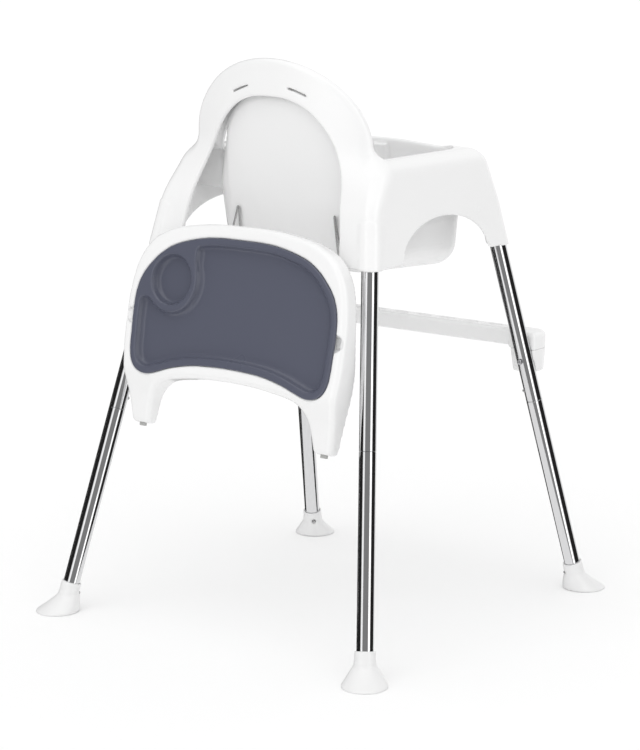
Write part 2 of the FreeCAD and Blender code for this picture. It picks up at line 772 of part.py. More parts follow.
def pan_region(grow):
    """The main recess, drawn round the cup ring, as a face grown by an amount."""
    face = Part.Face(mirrored_outline(INSERT_OUTLINE, -10.0 + grow))
    keep_out = Part.Face(Part.Wire(Part.makeCircle(dim("cup_ring_radius") - grow,
                                                   Vector(-dim("cup_x"), dim("cup_up"), 0))))
    beside = Part.makePlane(120, 120, Vector(-dim("cup_x") - 120, 50 + grow, 0))
    above = Part.makePlane(120, 100, Vector(-82 - grow - 120, 100, 0))
    return face.cut(keep_out).cut(beside).cut(above)


def cup_region(grow):
    return Part.Face(Part.Wire(Part.makeCircle(dim("cup_radius") + grow,
                                               Vector(-dim("cup_x"), dim("cup_up"), 0))))


def slab(face, low, high):
    return face.translated(Vector(0, 0, low)).extrude(Vector(0, 0, high - low))


def across_tray(points):
    """A prism right across the tray, from its side profile as (up, out) points."""
    vectors = [Vector(-250, y, z) for y, z in points]
    return Part.Face(Part.makePolygon(vectors + vectors[:1])).extrude(Vector(500, 0, 0))


def arm_relief(drop):
    """What is in front of the two arms, whose faces curve back from the tray's face."""
    knots = [(-62, 0), (-80, -6.5), (-100, -14.5), (-130, -22), (-160, -27.5)]
    curve = Part.BSplineCurve()
    curve.interpolate(Points=[Vector(-250, y, z + drop) for y, z in knots],
                      InitialTangent=Vector(0, -1, 0), FinalTangent=Vector(0, -1, -0.15))
    first = Vector(-250, knots[0][0], knots[0][1] + drop)
    last = Vector(-250, knots[-1][0], knots[-1][1] + drop)
    border = Part.makePolygon([last, Vector(-250, -160, 30), Vector(-250, -62, 30), first])
    return Part.Face(Part.Wire([curve.toShape()] + border.Edges)).extrude(Vector(500, 0, 0))


def tray_frame():
    outline = mirrored_outline(FRAME_OUTLINE)
    inside = mirrored_outline(FRAME_OUTLINE, -dim("tray_skin"))
    depth = dim("tray_depth")
    shallow = dim("tray_top_depth")
    plate = dim("tray_plate")
    floor = -dim("pan_depth") - dim("pan_skin") - 0.5
    body = prism(outline, -depth, 0.0)
    rim = [e for e in body.Edges if e.BoundBox.ZMin > -0.01]
    body = body.makeFillet(7.0, rim).cut(arm_relief(0.0))
    body = body.cut(prism(inside, -depth, -plate).cut(arm_relief(-4.0)))
    # the walls are shallower towards the top, where the tray rests against the seat
    body = body.cut(across_tray([(200, -60), (200, -shallow), (60, -shallow), (-60, -depth), (-60, -60)]))
    wells = [slab(pan_region(2.5 + 2.5), floor - 2.5, -plate), slab(cup_region(5.0), floor - 4.5, -plate)]
    body = union([body] + wells)
    seat = mirrored_outline(INSERT_OUTLINE, dim("flange_gap"))
    body = body.cut(prism(seat, -dim("flange_seat"), 10.0))
    body = body.cut(slab(pan_region(2.5), floor, 1.0)).cut(slab(cup_region(2.5), floor - 2.0, 1.0))
    for side in (1, -1):
        rib = Part.makeBox(44, 3, shallow + floor - 3, Vector(side * 112 - 22, 110, -shallow + 1))
        guide = Part.makeBox(dim("latch_width") + 5, 46, 24, Vector(
            side * dim("latch_x") - dim("latch_width") / 2 - 2.5, -141, -depth + 3))
        guide = guide.cut(arm_relief(-1.5))
        slot = Part.makeBox(dim("latch_width") + 0.6, 60, dim("latch_thickness") + 0.6, Vector(
            side * dim("latch_x") - dim("latch_width") / 2 - 0.3, -150, dim("latch_level") - 0.3))
        notch = Part.makeCylinder(12.0, 20.0, Vector(side * 193, 18.5, -4.0), Vector(0, 0, 1))
        body = union([body, rib, guide]).cut(slot).cut(notch)
    solids = sorted(body.Solids, key=lambda solid: solid.Volume)
    feature("tray_frame", solids[-1], TRAY)


def tray_insert():
    outline = mirrored_outline(INSERT_OUTLINE)
    proud = dim("flange_proud")
    depth = dim("pan_depth")
    skin = dim("pan_skin")
    body = prism(outline, -dim("flange_seat") + 0.3, proud)
    body = body.makeFillet(1.5, [e for e in body.Edges if e.BoundBox.ZMin > proud - 0.01])
    wells = [slab(pan_region(skin), -depth - skin, -1.0), slab(cup_region(skin), -depth - skin - 2.0, -1.0)]
    body = union([body] + wells)
    body = body.cut(slab(pan_region(0.0), -depth, 5.0)).cut(slab(cup_region(0.0), -depth - 2.0, 5.0))
    feature("tray_insert", body, TRAY)


def tray_latch(side):
    """The spring-loaded tongue in one arm's end; its tip shows below the arm."""
    width = dim("latch_width")
    thick = dim("latch_thickness")
    x = -side * dim("latch_x")
    tongue = Part.makeBox(width, 34, thick, Vector(x - width / 2, -147, dim("latch_level")))
    tip = [e for e in tongue.Edges if e.BoundBox.YMax < -146.9 and e.BoundBox.XLength > 1]
    tongue = tongue.makeChamfer(1.5, tip)
    stem = Part.makeCylinder(1.5, 12, Vector(x, -113, dim("latch_level") + thick / 2), Vector(0, 1, 0))
    feature("tray_latch_%s" % ("left" if side > 0 else "right"), union([tongue, stem]), TRAY)


def tray_latch_springs():
    """The compression spring behind each tongue, as a plain tube around the tongue's stem."""
    low = -106.8
    high = -90.2
    level = dim("latch_level") + dim("latch_thickness") / 2
    springs = []
    for side in (1, -1):
        base = Vector(side * dim("latch_x"), low, level)
        outside = Part.makeCylinder(dim("latch_spring_radius"), high - low, base, Vector(0, 1, 0))
        inside = Part.makeCylinder(1.8, high - low, base, Vector(0, 1, 0))
        springs.append(outside.cut(inside))
    feature("tray_latch_springs", Part.makeCompound(springs), TRAY)


def wire_hook(side):
    """A bent wire that leaves the back wall, folds back down and reaches under the tray's rib."""
    radius = dim("wire_radius")
    wall = dim("wire_radius") + 1.2
    points = [Vector(92.5, back_y(562) - 2, 562), Vector(92.5, back_y(572) + wall, 572),
              Vector(90.5, back_y(626) + wall, 626), Vector(99, back_y(602) + 8, 602),
              Vector(107, back_y(572) + 14, 572), Vector(111, back_y(550) + 26, 551),
              Vector(112, 178, 543), Vector(112, 201, 547.5)]
    points = [Vector(side * p.x, p.y, p.z) for p in points]
    pieces = [Part.makeSphere(radius, p) for p in points]
    for start, end in zip(points[:-1], points[1:]):
        run = end - start
        pieces.append(Part.makeCylinder(radius, run.Length, start, run))
    feature("tray_hook_%s" % ("left" if side > 0 else "right"), pieces[0].multiFuse(pieces[1:]))


# ---------------------------------------------------------------- build and export

seat_shell()
for leg in LEGS:
    upper_leg(leg)
    lower_leg(leg)
    foot(leg)
    snap_button(leg, "leg", 0.0)
    snap_button(leg, "foot", dim("foot_neck_radius") - TUBE_R)
snap_springs("leg")
snap_springs("foot")
socket_screws()
footrest_bar()
for leg in LEGS[2:]:
    footrest_cap(leg)
footrest_bolts()
footrest_screws()
tray_frame()
tray_insert()
for side in (1, -1):
    tray_latch(side)
    wire_hook(side)
tray_latch_springs()

doc.recompute()
for obj in doc.Objects:
    if "Invalid" in obj.State or "Error" in obj.State:
        raise RuntimeError("%s did not compute: %s" % (obj.Name, obj.State))
os.makedirs("parts", exist_ok=True)
for obj in NODES:
    shape = obj.Shape
    if shape.isNull() or not shape.isValid():
        raise RuntimeError("%s has no valid shape" % obj.Label)
    box = shape.BoundBox
    print("%-26s solids %d volume %9.0f  x %.1f %.1f  y %.1f %.1f  z %.1f %.1f" % (
        obj.Label, len(shape.Solids), shape.Volume, box.XMin, box.XMax, box.YMin, box.YMax,
        box.ZMin, box.ZMax))
    shape.exportStep("parts/%s.step" % obj.Label)
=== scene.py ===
"""Baby high chair: the looks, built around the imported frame.

The moulded pieces are closed surfaces of signed-distance fields: a field gives, for every point,
about the distance to the piece's surface, negative inside.  Fields are written in millimetres and
are joined with round_max (a rounded edge) and round_min (a rounded hollow), so that every edge has
its moulded radius.  The chair faces -Y, +Z is up, and +X is the child's left.
"""

import json
import math

import bpy
import numpy as np
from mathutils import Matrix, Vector


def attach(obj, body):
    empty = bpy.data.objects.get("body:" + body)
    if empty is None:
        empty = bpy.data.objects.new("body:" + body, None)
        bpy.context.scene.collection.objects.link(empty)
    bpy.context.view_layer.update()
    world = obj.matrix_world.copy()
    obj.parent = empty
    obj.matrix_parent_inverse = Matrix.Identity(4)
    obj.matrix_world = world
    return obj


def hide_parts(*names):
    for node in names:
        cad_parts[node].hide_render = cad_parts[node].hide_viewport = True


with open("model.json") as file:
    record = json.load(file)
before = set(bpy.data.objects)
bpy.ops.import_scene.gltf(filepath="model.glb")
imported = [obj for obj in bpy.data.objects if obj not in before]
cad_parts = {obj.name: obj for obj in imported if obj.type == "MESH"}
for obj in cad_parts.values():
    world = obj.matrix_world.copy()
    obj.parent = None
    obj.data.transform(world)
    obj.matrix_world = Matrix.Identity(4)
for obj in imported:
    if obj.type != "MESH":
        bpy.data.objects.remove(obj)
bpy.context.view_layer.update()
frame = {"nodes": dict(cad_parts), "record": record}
MM = 0.001

# ---------------------------------------------------------------- driving dimensions, in mm

TUBE_RADIUS = 12.5
SOCKET_RADIUS = 16.8
LEGS = {
    "rear": {"foot": (292.2, 298.05), "lean": (0.1627, 0.231), "out": 1},
    "front": {"foot": (269.0, 297.15), "lean": (0.1226, 0.2487), "out": -1},
}
MOUTH_HEIGHT = 566.0
ARM_HEIGHT = 713.5
SOCKET_TOP = 654.0
TUBE_TOP = 649.8
LEG_HOLE_RADIUS = TUBE_RADIUS + 0.1
SHELL_SKIN = 4.4
BUCKET_SKIN = 4.6
SHELL_CELL = 2.0
CAMERA_PLACE = (-2.3369, 3.0045, 1.1405)

# ---------------------------------------------------------------- signed-distance fields


def round_max(a, b, radius):
    """Where both solids are (the higher field), with the edge between them rounded."""
    u = np.maximum(a + radius, 0)
    v = np.maximum(b + radius, 0)
    return np.minimum(np.maximum(a, b), -radius) + np.sqrt(u * u + v * v)


def round_min(a, b, radius):
    """Both solids together (the lower field), with the hollow corner between them filled."""
    return -round_max(-a, -b, radius)


def smoothstep(value, low, high):
    t = np.clip((value - low) / (high - low), 0, 1)
    return t * t * (3 - 2 * t)


def ellipse(u, v, half_u, half_v):
    """Close to the distance from an ellipse's outline."""
    k0 = np.sqrt((u / half_u) ** 2 + (v / half_v) ** 2)
    k1 = np.sqrt((u / half_u ** 2) ** 2 + (v / half_v ** 2) ** 2)
    return k0 * (k0 - 1) / np.maximum(k1, 1e-9)


def rounded_box(u, v, half_u, half_v, radius):
    """The distance from a rectangle with round corners."""
    du = np.abs(u) - half_u + radius
    dv = np.abs(v) - half_v + radius
    outside = np.sqrt(np.maximum(du, 0) ** 2 + np.maximum(dv, 0) ** 2)
    return outside + np.minimum(np.maximum(du, dv), 0) - radius


def spline(points, closed, steps=6):
    """Points on a smooth curve through the given ones."""
    knots = np.array(points, float)
    count = len(knots)
    curve = []
    spans = count if closed else count - 1
    for i in range(spans):
        if closed:
            p0, p1, p2, p3 = (knots[(i + k) % count] for k in (-1, 0, 1, 2))
        else:
            p0, p1, p2, p3 = (knots[min(max(i + k, 0), count - 1)] for k in (-1, 0, 1, 2))
        for t in np.arange(steps) / steps:
            curve.append(0.5 * (2 * p1 + (p2 - p0) * t + (2 * p0 - 5 * p1 + 4 * p2 - p3) * t ** 2
                                + (3 * p1 - p0 - 3 * p2 + p3) * t ** 3))
    if not closed:
        curve.append(knots[-1])
    return np.array(curve)


def curve_table(points):
    """A smooth curve through points as a table of heights, with its slopes."""
    table = spline(points, closed=False, steps=24)
    return table[:, 0], table[:, 1], np.gradient(table[:, 1], table[:, 0])


def under_curve(u, v, table):
    """Close to the distance from the room under a curve, negative below it."""
    places, heights, slopes = table
    return (v - np.interp(u, places, heights)) / np.sqrt(1 + np.interp(u, places, slopes) ** 2)


def outline_chart(points):
    """The signed distance from a smooth closed outline, on a fine grid.

    The outline is symmetrical: points run down its +u side, from the top middle to the bottom one.
    """
    mirrored = [(-u, v) for u, v in points[-2:0:-1]]
    outline = spline(list(points) + mirrored, closed=True, steps=5)
    low = np.array([0.0, outline[:, 1].min() - 30])
    size = np.array([outline[:, 0].max() + 30, outline[:, 1].max() + 30])
    u, v = np.meshgrid(np.arange(low[0], size[0]), np.arange(low[1], size[1]), indexing="ij")
    nearest = np.full(u.shape, 1e9)
    inside = np.zeros(u.shape, bool)
    for (au, av), (bu, bv) in zip(outline, np.roll(outline, -1, axis=0)):
        du, dv = bu - au, bv - av
        t = np.clip(((u - au) * du + (v - av) * dv) / (du * du + dv * dv), 0, 1)
        nearest = np.minimum(nearest, (u - au - t * du) ** 2 + (v - av - t * dv) ** 2)
        if dv:
            inside ^= ((av > v) != (bv > v)) & (u < au + du * (v - av) / dv)
    return low, np.where(inside, -1, 1) * np.sqrt(nearest)


def from_chart(chart, u, v):
    """The distance from a charted outline."""
    low, values = chart
    a = np.clip(np.abs(u) - low[0], 0, values.shape[0] - 1.001)
    b = np.clip(v - low[1], 0, values.shape[1] - 1.001)
    i, j = a.astype(int), b.astype(int)
    s, t = a - i, b - j
    return ((values[i, j] * (1 - s) + values[i + 1, j] * s) * (1 - t)
            + (values[i, j + 1] * (1 - s) + values[i + 1, j + 1] * s) * t)


def side_name(side):
    return "left" if side > 0 else "right"


def leg_frame(end, side):
    """A leg's floor point and unit axis."""
    leg = LEGS[end]
    floor = np.array([side * leg["foot"][0], leg["out"] * leg["foot"][1], 0.0])
    axis = np.array([-side * leg["lean"][0], -leg["out"] * leg["lean"][1], 1.0])
    return floor, axis / np.linalg.norm(axis)


def around_axis(x, y, z, floor, axis):
    """Each point's place along an axis and its distance from it."""
    px, py, pz = x - floor[0], y - floor[1], z - floor[2]
    place = px * axis[0] + py * axis[1] + pz * axis[2]
    away = np.sqrt(np.maximum(px * px + py * py + pz * pz - place * place, 0))
    return place, away


# ---------------------------------------------------------------- from a field to a mesh


def net_cells(values):
    """Surface nets: the cells that the surface crosses, a point in each, and the quads."""
    inside = values < 0
    shape = tuple(n - 1 for n in values.shape)
    corners = [(i, j, k) for i in (0, 1) for j in (0, 1) for k in (0, 1)]

    def view(array, corner):
        return array[tuple(slice(c, c + n) for c, n in zip(corner, shape))]

    count = sum(view(inside, corner).astype(np.uint8) for corner in corners)
    cells = np.argwhere((count > 0) & (count < 8))
    number = np.full(shape, -1, np.int64)
    number[tuple(cells.T)] = np.arange(len(cells))
    total = np.zeros((len(cells), 3))
    hits = np.zeros(len(cells))
    for a in corners:
        for axis in range(3):
            if a[axis]:
                continue
            b = tuple(1 if k == axis else c for k, c in enumerate(a))
            va = values[tuple((cells + a).T)]
            vb = values[tuple((cells + b).T)]
            cross = (va < 0) != (vb < 0)
            t = np.where(cross, va / np.where(cross, va - vb, 1), 0)
            point = cells + np.array(a, float)
            point[:, axis] += t
            total += point * cross[:, None]
            hits += cross
    points = total / hits[:, None]
    quads = []
    for axis in range(3):
        first = tuple(slice(0, -1) if k == axis else slice(1, -1) for k in range(3))
        second = tuple(slice(1, None) if k == axis else slice(1, -1) for k in range(3))
        here, there = inside[first], inside[second]
        edges = np.argwhere(here != there)
        flipped = there[tuple(edges.T)]
        base = edges + np.array([0 if k == axis else 1 for k in range(3)])
        u, v = [(1, 2), (2, 0), (0, 1)][axis]
        ring = []
        for du, dv in ((0, 0), (-1, 0), (-1, -1), (0, -1)):
            cell = base.copy()
            cell[:, u] += du
            cell[:, v] += dv
            ring.append(number[tuple(cell.T)])
        ring = np.stack(ring, axis=1)
        ring[flipped] = ring[flipped][:, ::-1]
        quads.append(ring)
    return points, np.concatenate(quads)


def gradient(field, points, value, step=0.03):
    """How the field changes around points where it has the given values."""
    parts = []
    for axis in range(3):
        moved = points.copy()
        moved[:, axis] += step
        parts.append((field(*moved.T) - value) / step)
    return np.stack(parts, axis=1)


def settle(field, points, quads, cell):
    """Even out the points along the surface, and bring them back onto it."""
    pairs = np.concatenate([quads[:, [0, 1]], quads[:, [1, 2]], quads[:, [2, 3]], quads[:, [3, 0]]])
    degree = np.bincount(pairs[:, 0], minlength=len(points))
    degree = degree + np.bincount(pairs[:, 1], minlength=len(points))
    for turn in range(4):
        if turn < 3:
            mean = np.zeros_like(points)
            for axis in range(3):
                mean[:, axis] = np.bincount(pairs[:, 0], points[pairs[:, 1], axis], len(points))
                mean[:, axis] += np.bincount(pairs[:, 1], points[pairs[:, 0], axis], len(points))
            points = 0.5 * points + 0.5 * mean / degree[:, None]
        value = field(*points.T)
        slope = gradient(field, points, value)
        steep = np.maximum((slope ** 2).sum(axis=1), 0.25)
        move = np.clip(value / steep, -0.5 * cell, 0.5 * cell)
        points = points - move[:, None] * slope
    return points


def mesh_object(name, points, faces):
    mesh = bpy.data.meshes.new(name)
    mesh.from_pydata([tuple(p) for p in points], [], [tuple(int(i) for i in f) for f in faces])
    mesh.polygons.foreach_set("use_smooth", [True] * len(mesh.polygons))
    mesh.update()
    obj = bpy.data.objects.new(name, mesh)
    bpy.context.scene.collection.objects.link(obj)
    return obj


def stitched(name, rings, sharp=35.0):
    """A surface over rings of points in mm, all of one count; a ring of one point is a tip."""
    count = max(len(ring) for ring in rings)
    points, places = [], []
    for ring in rings:
        start = len(points)
        points.extend(Vector(p) * MM for p in ring)
        places.append([start] * count if len(ring) == 1 else list(range(start, start + count)))
    faces = []
    for below, above in zip(places[:-1], places[1:]):
        for i in range(count):
            j = (i + 1) % count
            face = []
            for corner in (below[i], below[j], above[j], above[i]):
                if corner not in face:
                    face.append(corner)
            faces.append(face)
    obj = mesh_object(name, points, faces)
    obj.data.set_sharp_from_angle(angle=math.radians(sharp))
    return obj


def ring_of(middle, across, over, radius, segments):
    turns = [2 * math.pi * i / segments for i in range(segments)]
    return [middle + (across * math.cos(t) + over * math.sin(t)) * radius for t in turns]


def turned(name, profile, base, axis, segments=56):
    """A solid of revolution from (radius, place) points that run outwards, up, and back in."""
    along = Vector(axis).normalized()
    across = along.orthogonal().normalized()
    over = along.cross(across)
    rings = []
    for radius, place in profile:
        middle = Vector(base) + along * place
        if radius == 0:
            rings.append([middle])
            continue
        rings.append(ring_of(middle, across, over, radius, segments))
    return stitched(name, rings)


def bent_wire(name, knots, radius, segments=16):
    """A round wire along a smooth curve, with rounded ends."""
    curve = [Vector(p) for p in spline(knots, closed=False, steps=8)]
    ahead = [(curve[min(i + 1, len(curve) - 1)] - curve[max(i - 1, 0)]).normalized()
             for i in range(len(curve))]
    across = ahead[0].orthogonal().normalized()
    rings = [[curve[0] - ahead[0] * radius * 0.6]]
    for point, along in zip(curve, ahead):
        across = (across - along * across.dot(along)).normalized()
        rings.append(ring_of(point, across, along.cross(across), radius, segments))
    rings.append([curve[-1] + ahead[-1] * radius * 0.6])
    return stitched(name, rings, sharp=80)


def shown(obj, body, node, material_slot):
    """A finished piece: it rides on a body, stands for a CAD node and wears a slot's material."""
    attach(obj, body)
    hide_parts(node)
    paint(obj, material_slot)


def moulding(name, field, low, high, cell, place=None):
    """A closed mesh of a field's surface.  place maps local millimetres to the chair's."""
    axes = [np.arange(a, b + cell, cell) for a, b in zip(low, high)]
    values = field(*np.ix_(*axes)).astype(np.float32)
    points, quads = net_cells(values)
    points = points * cell + np.array([axis[0] for axis in axes])
    points = settle(field, points, quads, cell)
    if place is not None:
        points = points @ place[:, :3].T + place[:, 3]
    return mesh_object(name, points * MM, quads)


# ---------------------------------------------------------------- seat shell

ARCH_CENTRE = 726.0
REAR_OPENING = curve_table([(0, 801), (30, 799), (60, 789), (85, 771), (106, 745), (122, 712),
                            (135, 675), (144, 630), (152, 575), (160, 500)])
DISH_OUTLINE = curve_table([(0, 812), (35, 809), (62, 801), (84, 788), (99, 772), (108, 755),
                            (117, 733), (127, 708), (136, 682), (142, 650), (147, 600), (152, 540)])
DISH_RIM_WIDTH = 8.0
DISH_RIM_DEPTH = 9.0
DISH_RIM_HALF = 146.0
LIP_DEPTH = 8.0
BACK_CURVE = 0.0012
RIM_FRONT = 141.0
WEB_PLACE = 88.0
FRONT_LIMIT = -100.0


def rear_face(x, z):
    """The rear face leans with the legs, then turns upright and wraps round the back."""
    bend, reach, slope, upright = 683.0, 25.0, 0.231, 155.0
    leaning = upright + slope * reach * np.logaddexp(0, (bend - z) / reach)
    return leaning - BACK_CURVE * x ** 2 * smoothstep(z, 635, 740)


def front_face(z):
    leg = LEGS["front"]
    return -(leg["foot"][1] - leg["lean"][1] * z) - SOCKET_RADIUS


def side_face(y, z):
    """Half the skirt's width, between the front and the rear leg lines."""
    front = LEGS["front"]["foot"][0] - LEGS["front"]["lean"][0] * z
    rear = LEGS["rear"]["foot"][0] - LEGS["rear"]["lean"][0] * z
    share = np.clip((y + 135) / 290, 0, 1)
    return front + (rear - front) * share + SOCKET_RADIUS


def arch_front(x):
    """The front of the backrest's rim, curved like its rear."""
    return RIM_FRONT - BACK_CURVE * x ** 2


def front_wall(z):
    """The inside of the bucket's front wall: upright low down, then leaning back to the rim."""
    lift = np.clip(z - 608, 0, None)
    return np.maximum(-157.4, front_face(z) + BUCKET_SKIN + 9.4 * (lift / 105.0) ** 2)


def back_wall(x, z):
    """The rear of the bucket's back wall, which runs up into the backrest's dish."""
    hollow = 9.0 * smoothstep(z, 650, 800) * np.maximum(1 - (x / 115.0) ** 2, -0.5)
    return 106.0 + 0.13 * (z - 620.0) + hollow


def envelope(x, y, z):
    """The shell's outside, without its openings and with no bottom."""
    across = np.abs(x)
    upright_radius = np.interp(z, [566, 636, 705], [SOCKET_RADIUS, SOCKET_RADIUS + 0.3, 30])
    block = round_max(across - side_face(y, z), front_face(z) - y, upright_radius)
    crown = ARM_HEIGHT + 9.5 * np.cos(np.clip(x / 125.0, -1.57, 1.57)) ** 2 * smoothstep(-y, 90, 125)
    block = round_max(block, z - crown, 22.0)
    head = ellipse(x, np.maximum(z - ARCH_CENTRE, 0), 165.0, 130.0)
    head = round_max(head, arch_front(x) - y, 7.0)
    both = round_min(block, head, 24.0)
    dish_rim = under_curve(across, z, DISH_OUTLINE) - DISH_RIM_WIDTH
    dish_rim = round_max(dish_rim, back_wall(x, z) - DISH_RIM_DEPTH - y, 6.0)
    both = round_min(both, np.maximum(dish_rim, across - DISH_RIM_HALF), 10.0)
    rear_radius = np.interp(z, [566, 636, 690, 720, 765],
                            [SOCKET_RADIUS, SOCKET_RADIUS + 0.3, 22, 18, 6.9])
    return round_max(both, y - rear_face(x, z), rear_radius)


def bucket_space(x, y, z):
    """The room for the child: the bucket, open above, and the dish in the backrest."""
    across = np.abs(x)
    wide = np.interp(z, [540, 600, 660, 713], [136, 142, 144, 157])
    dish = np.maximum(across - wide, under_curve(across, z, DISH_OUTLINE))
    sides = across - wide + (dish - across + wide) * smoothstep(y, 70, 104) + BUCKET_SKIN
    rear_radius = np.interp(z, [650, 740], [34, 15])
    space = round_max(sides, y - back_wall(x, z) + BUCKET_SKIN, rear_radius)
    space = round_max(space, front_wall(z) - y, np.interp(z, [630, 713], [38, 46]))
    floor = 531.0 + 14.0 * (y + 160) / 260
    return round_max(space, floor - z, 30.0)


def front_post(x, y, z):
    """A rounded rib up the middle of the bucket's front wall."""
    return np.maximum(np.hypot(x, (y - front_wall(z)) * 1.3) - 13.0, z - 708.0)


def leg_openings(x, y, z):
    """Two openings in the bucket's front, either side of the middle post."""
    opening = rounded_box(np.abs(x) - 71.0, z - 613.0, 47.0, 51.0, 30.0)
    return np.maximum(opening, y - FRONT_LIMIT)


def strap_slots(x, y, z, grow=0.0):
    """Two sloping slots through the band of the backrest, or the sleeve round them when grown."""
    turn = math.radians(18)
    u = np.abs(x) - 53.0
    v = z - 810.0
    along = u * math.cos(turn) - v * math.sin(turn)
    over = u * math.sin(turn) + v * math.cos(turn)
    slot = rounded_box(along, over + 0.0035 * along ** 2, 17.0, 1.6, 1.5) - grow
    return np.maximum(slot, 120.0 - y)


def skirt_openings(x, y, z, outside_bucket):
    """What is open in the skirt: below its lower edge, and the arches between the sockets."""
    below = z - MOUTH_HEIGHT
    above = np.maximum(below, 0)
    side = round_min(ellipse(y + 2.0, above, 108.0, 60.0), below, 10.0)
    side = np.maximum(side, 140.0 - np.abs(x))
    front = round_min(ellipse(x, above, 186.0, 78.0), below, 10.0)
    front = np.maximum(front, y - FRONT_LIMIT)
    return np.maximum(np.minimum(np.minimum(side, front), below), -outside_bucket)


def shell_field(x, y, z):
    """The whole moulding: an open skin, the bucket in it, the sockets and the openings."""
    space = bucket_space(x, y, z)
    outside_bucket = space - BUCKET_SKIN
    solid = round_max(envelope(x, y, z), -space, 10.0)
    depth = rear_face(x, z) - y
    rear = under_curve(np.abs(x), z, REAR_OPENING)
    window = np.maximum(rear, -outside_bucket)
    rolled = round_max(solid, -np.maximum(window, 100.0 - y), 3.0)
    # the walls beside the backrest are thicker, where the skin turns sharply
    corner = smoothstep(np.abs(x), 150, 182) * smoothstep(y, 80, 115) * smoothstep(z, 640, 675)
    skin = np.maximum(rolled, -(rolled + SHELL_SKIN + 3.0 * corner))
    flange = np.maximum(rear - SHELL_SKIN - 1.0, LIP_DEPTH - depth)
    flange = np.maximum(flange, np.maximum(solid + SHELL_SKIN + 0.5, -outside_bucket))
    skin = round_max(skin, -flange, 1.2)
    web = np.maximum(np.abs(y - WEB_PLACE) - 1.6, np.maximum(648.0 - z, 138.0 - np.abs(x)))
    skin = np.maximum(round_min(skin, web, 2.0), solid)
    skin = round_max(skin, -skirt_openings(x, y, z, outside_bucket), 1.5)
    # the rear sockets swell very slightly through the rounded corners
    bulge = 1.8 * smoothstep(-z, -648, -630) * smoothstep(y, 95, 120)
    for end in LEGS:
        for side in (1, -1):
            place, away = around_axis(x, y, z, *leg_frame(end, side))
            socket = round_max(away - SOCKET_RADIUS, place - SOCKET_TOP, 2.0)
            socket = np.maximum(socket, MOUTH_HEIGHT - z)
            skin = np.maximum(round_min(skin, socket, 4.0), np.maximum(solid - bulge, -10.0))
            bore = round_max(away - LEG_HOLE_RADIUS, place - TUBE_TOP - 0.6, 0.8)
            skin = round_max(skin, -bore, 0.8)
    skin = round_max(skin, -leg_openings(x, y, z), 2.0)
    skin = round_min(skin, np.maximum(front_post(x, y, z), solid - 8.0), 3.0)
    skin = np.minimum(skin, np.maximum(strap_slots(x, y, z, 4.0), solid))
    return round_max(skin, -strap_slots(x, y, z), 1.0)


def seat_shell():
    shell = moulding("shell", shell_field, (-222, -180, 518), (222, 190, 862), SHELL_CELL)
    shown(shell, "chair", "seat_shell", "shell_plastic")


# ---------------------------------------------------------------- legs, feet and snap buttons

TUBE_WALL = 1.2
TUBE_BOTTOM = 14.0
JOINT_PLACE = 328.5
LEG_BUTTON_PLACE = 346.0
LEG_BUTTON_TIP = TUBE_RADIUS + 2.2
FOOT_BUTTON_PLACE = 32.0
FOOT_BUTTON_TIP = 17.4
BUTTON_RADIUS = 2.6
NECK_RADIUS = 15.2
NECK_TOP = 47.0
FOOT_SKEW = 11.4
FOOT_CURVE = [(0, 33.1), (3.0, 33.1), (12, 26.4), (20, 20.8), (26, 16.6), (29, NECK_RADIUS),
              (60, NECK_RADIUS)]


def leg_name(end, side):
    return "%s_%s" % (end, side_name(side))


def inward(end, side):
    """The direction square to a leg's axis that faces the chair's middle."""
    axis = Vector(leg_frame(end, side)[1])
    toward = Vector((-side, -LEGS[end]["out"], 0))
    return (toward - axis * toward.dot(axis)).normalized()


def tube(name, start, end, base, axis):
    """A tube with slightly bevelled ends."""
    outer, inner = TUBE_RADIUS, TUBE_RADIUS - TUBE_WALL
    profile = [(inner, start), (inner + 0.3, start), (outer - 0.4, start), (outer, start + 0.4),
               (outer, end - 0.4), (outer - 0.4, end), (inner + 0.3, end), (inner, end),
               (inner, start)]
    return turned(name, profile, base, axis)


def leg(end, side):
    """A leg's two tubes, end to end."""
    floor, axis = leg_frame(end, side)
    name = leg_name(end, side)
    upper = tube("upper_tube_" + name, JOINT_PLACE, TUBE_TOP, floor, axis)
    shown(upper, "chair", "upper_leg_" + name, "chrome_tube")
    lower = tube("lower_tube_" + name, TUBE_BOTTOM, JOINT_PLACE - 0.4, floor, axis)
    shown(lower, "chair", "lower_leg_" + name, "chrome_tube")


def foot(end, side):
    """A neck that flares into a base pushed outwards along the leg's splay."""
    floor, axis = leg_frame(end, side)
    splay = -np.array([axis[0], axis[1]]) / math.hypot(axis[0], axis[1])
    places, radii = zip(*FOOT_CURVE)
    drill = np.array(inward(end, side))
    button = floor + axis * FOOT_BUTTON_PLACE

    def field(x, y, z):
        place, away = around_axis(x, y, z, floor, axis)
        push = FOOT_SKEW * np.clip(1 - z / 27.0, 0, 1) ** 1.4
        cx = floor[0] + axis[0] / axis[2] * z + splay[0] * push
        cy = floor[1] + axis[1] / axis[2] * z + splay[1] * push
        cone = (np.hypot(x - cx, y - cy) - np.interp(z, places, radii)) * 0.8
        body = round_min(np.maximum(cone, z - 32.0), away - NECK_RADIUS, 2.0)
        body = round_max(body, place - NECK_TOP, 1.2)
        body = round_max(body, -z, 1.5)
        bore = np.maximum(away - LEG_HOLE_RADIUS, TUBE_BOTTOM - place)
        body = round_max(body, -bore, 0.6)
        along, off = around_axis(x, y, z, button, drill)
        hole = np.minimum(off - 3.3, off - 6.0 + 2.0 * np.clip(21.5 - along, 0, 9))
        hole = np.maximum(hole, -along)
        return round_max(body, -hole, 0.6)

    low = (floor[0] - 48, floor[1] - 48, -2)
    high = (floor[0] + 48, floor[1] + 48, 54)
    obj = moulding("foot_cone_" + leg_name(end, side), field, low, high, 1.5)
    shown(obj, "chair", "foot_" + leg_name(end, side), "foot_plastic")


